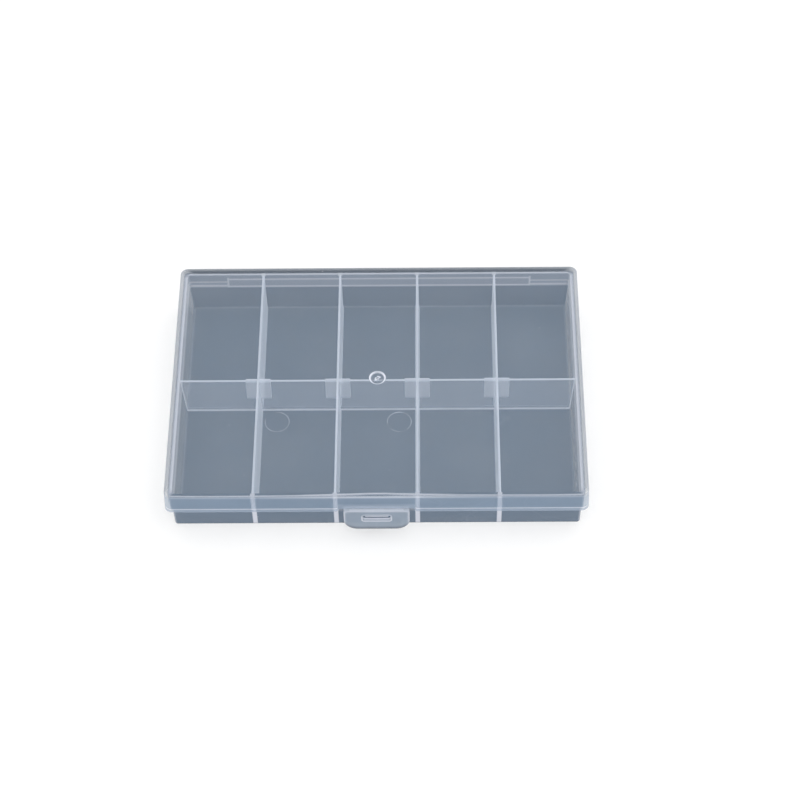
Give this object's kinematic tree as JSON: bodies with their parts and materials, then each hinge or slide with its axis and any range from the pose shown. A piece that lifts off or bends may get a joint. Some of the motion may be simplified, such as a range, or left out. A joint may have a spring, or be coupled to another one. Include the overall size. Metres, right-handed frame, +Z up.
{
  "type": "bead organizer box",
  "caption": "Shallow translucent plastic organizer box: a tray of bead compartments under one full-width hinged lid with a flexing front snap tab.",
  "frame": {"origin": "middle of the closed box's footprint, on the table", "axes": "+X to the right, +Y towards the hinge, +Z up; the latch tab faces -Y"},
  "size_m": [0.1356, 0.0987, 0.018],
  "materials": {
    "tray_plastic": "smooth translucent polypropylene with a blue-grey cast",
    "divider_plastic": "milky translucent polypropylene strips",
    "hinge_plastic": "milky translucent polypropylene",
    "lid_plastic": "clear, slightly milky polypropylene plate with bright edges",
    "latch_plastic": "satin milky polypropylene"
  },
  "bodies": {
    "tray": {"tray_shell": "tray_plastic", "long_divider": "divider_plastic", "cross_divider_1": "divider_plastic", "cross_divider_2": "divider_plastic", "cross_divider_3": "divider_plastic", "cross_divider_4": "divider_plastic", "hinge_rail": "hinge_plastic", "latch_catch": "hinge_plastic"},
    "lid": {"lid_shell": "lid_plastic", "hinge_knuckle_left": "hinge_plastic", "hinge_knuckle_right": "hinge_plastic"},
    "latch": {"latch_tab": "latch_plastic"}
  },
  "joints": [
    {"name": "lid_hinge", "type": "hinge", "parent": "tray", "child": "lid", "pos_m": [0, 0.04775, 0.01], "axis": [-1, 0, 0], "range_deg": [0, 180]},
    {"name": "latch_flex", "type": "hinge", "parent": "lid", "child": "latch", "pos_m": [0, -0.04772, 0.0119], "axis": [-1, 0, 0], "range_deg": [0, 12], "stiffness_Nm_per_rad": 0.01}
  ]
}
